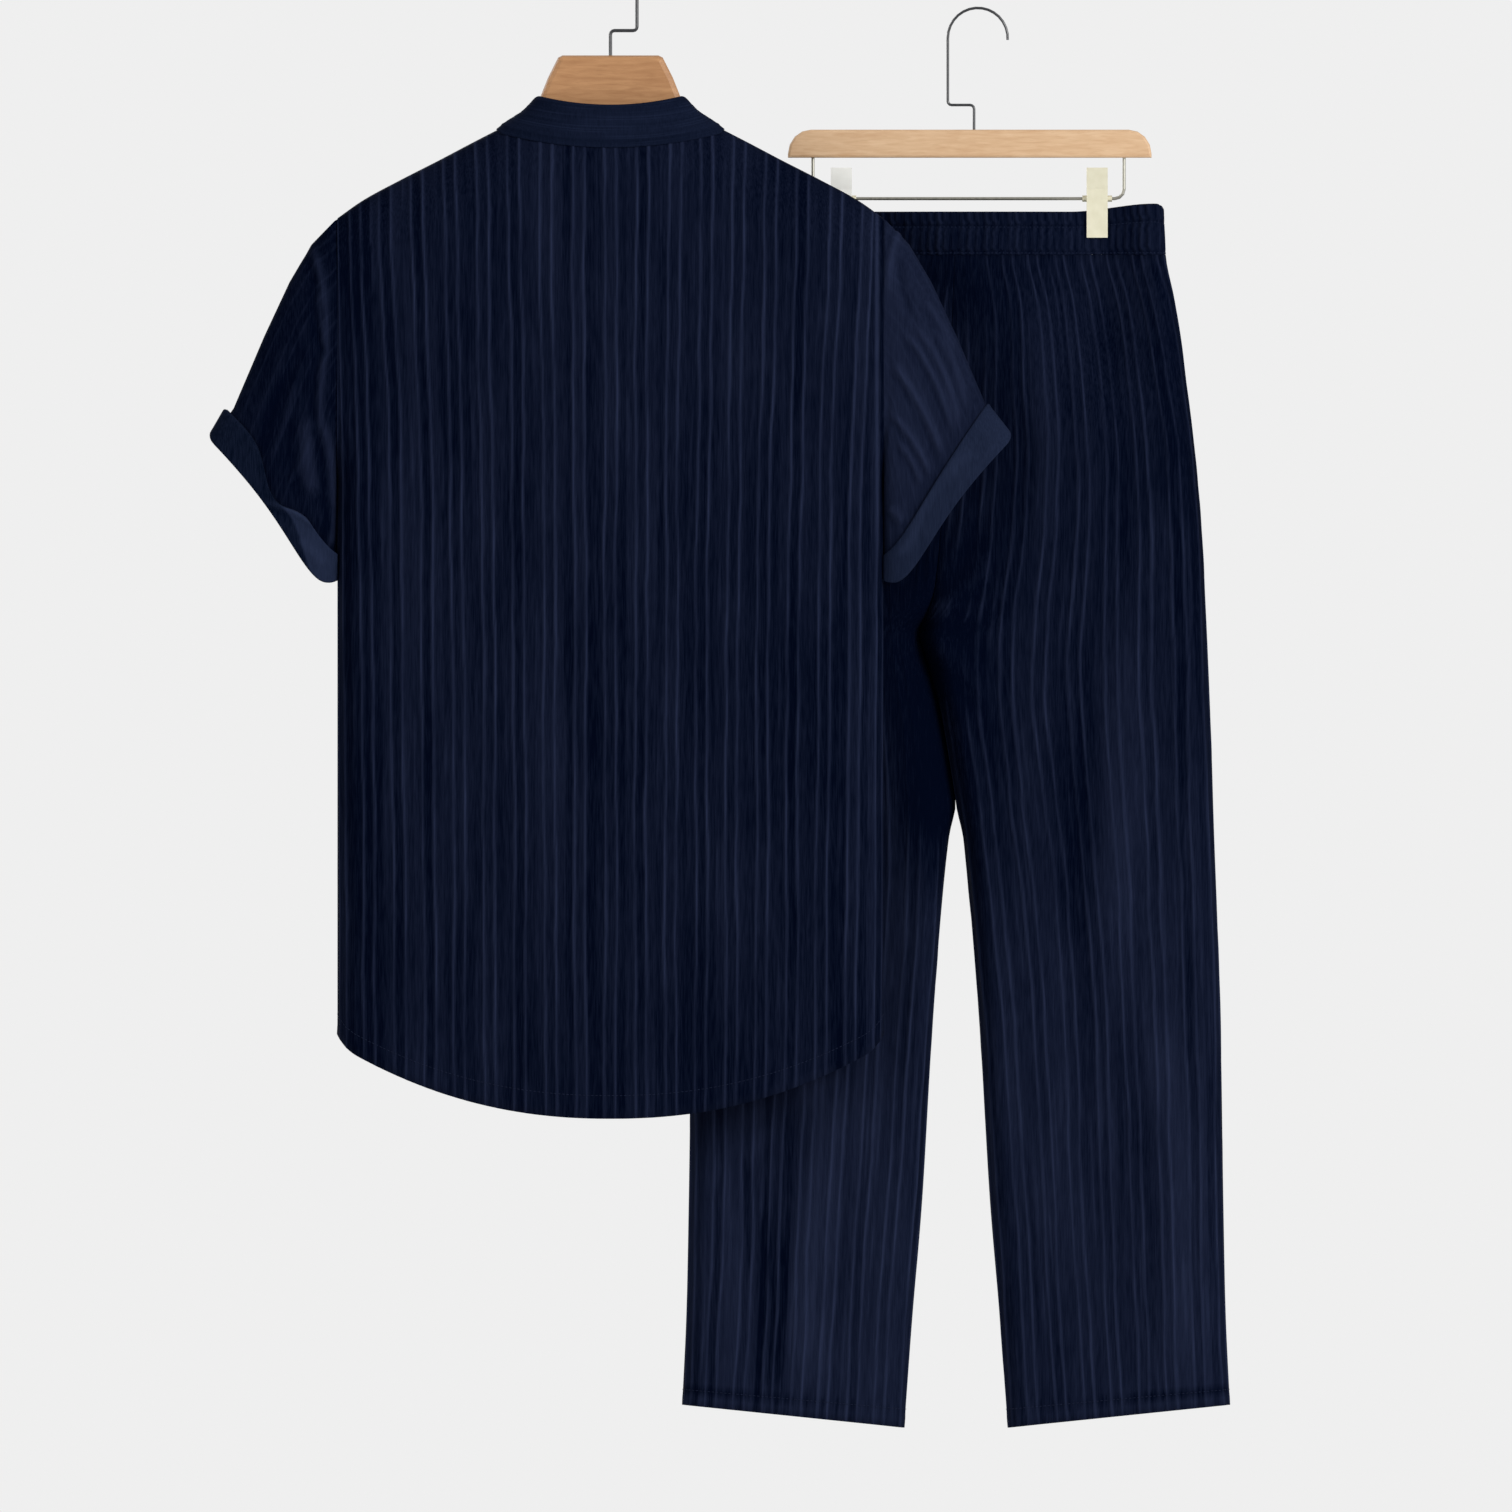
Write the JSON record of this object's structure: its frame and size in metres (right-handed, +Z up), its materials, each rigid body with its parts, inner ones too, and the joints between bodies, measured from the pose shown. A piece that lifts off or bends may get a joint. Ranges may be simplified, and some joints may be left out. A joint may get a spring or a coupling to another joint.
{
  "type": "pleated shirt and trouser set on a wooden hanger and a clip hanger",
  "caption": "Short-sleeved pleated shirt on a shaped wooden hanger with matching elastic-waist trousers on a clip hanger, both seen from the back.",
  "frame": {"origin": "inside the crown of the shirt hanger's hook, where it rests on a rail", "axes": "+Z up along the hanging garments, +Y from the camera's side through the cloth towards the shirt's front, +X to the right as the camera sees the backs"},
  "size_m": [0.8524, 0.1313, 1.2489],
  "materials": {
    "navy_cloth": "matt crinkle-pleated navy cloth",
    "navy_turned": "matt navy cloth, turned over",
    "navy_button": "polished navy resin",
    "warm_wood": "smooth varnished warm brown wood",
    "pale_wood": "smooth pale beech",
    "black_wire": "black coated wire",
    "steel_rod": "bright steel wire",
    "gold_plate": "pale gold plated spring steel"
  },
  "bodies": {
    "root": {"shirt_back": "navy_cloth", "shirt_front_left": "navy_cloth", "shirt_front_right": "navy_cloth", "front_placket": "navy_cloth", "collar_stand": "navy_cloth", "sleeve_left": "navy_cloth", "sleeve_right": "navy_cloth", "trouser_back_left": "navy_cloth", "trouser_back_right": "navy_cloth", "trouser_front_left": "navy_cloth", "trouser_front_right": "navy_cloth", "trouser_waistband": "navy_cloth", "collar_leaf": "navy_turned", "cuff_left": "navy_turned", "cuff_right": "navy_turned", "shirt_button_1": "navy_button", "shirt_button_2": "navy_button", "shirt_button_3": "navy_button", "shirt_button_4": "navy_button", "shirt_button_5": "navy_button", "shirt_button_collar": "navy_button", "shirt_hanger_wood": "warm_wood", "trouser_hanger_bar": "pale_wood", "shirt_hanger_hook": "black_wire", "trouser_hanger_hook": "black_wire", "trouser_hanger_rod": "steel_rod", "clip_left_front": "gold_plate", "clip_left_back": "gold_plate", "clip_left_spring": "gold_plate", "clip_right_front": "gold_plate", "clip_right_back": "gold_plate", "clip_right_spring": "gold_plate"}
  },
  "joints": []
}
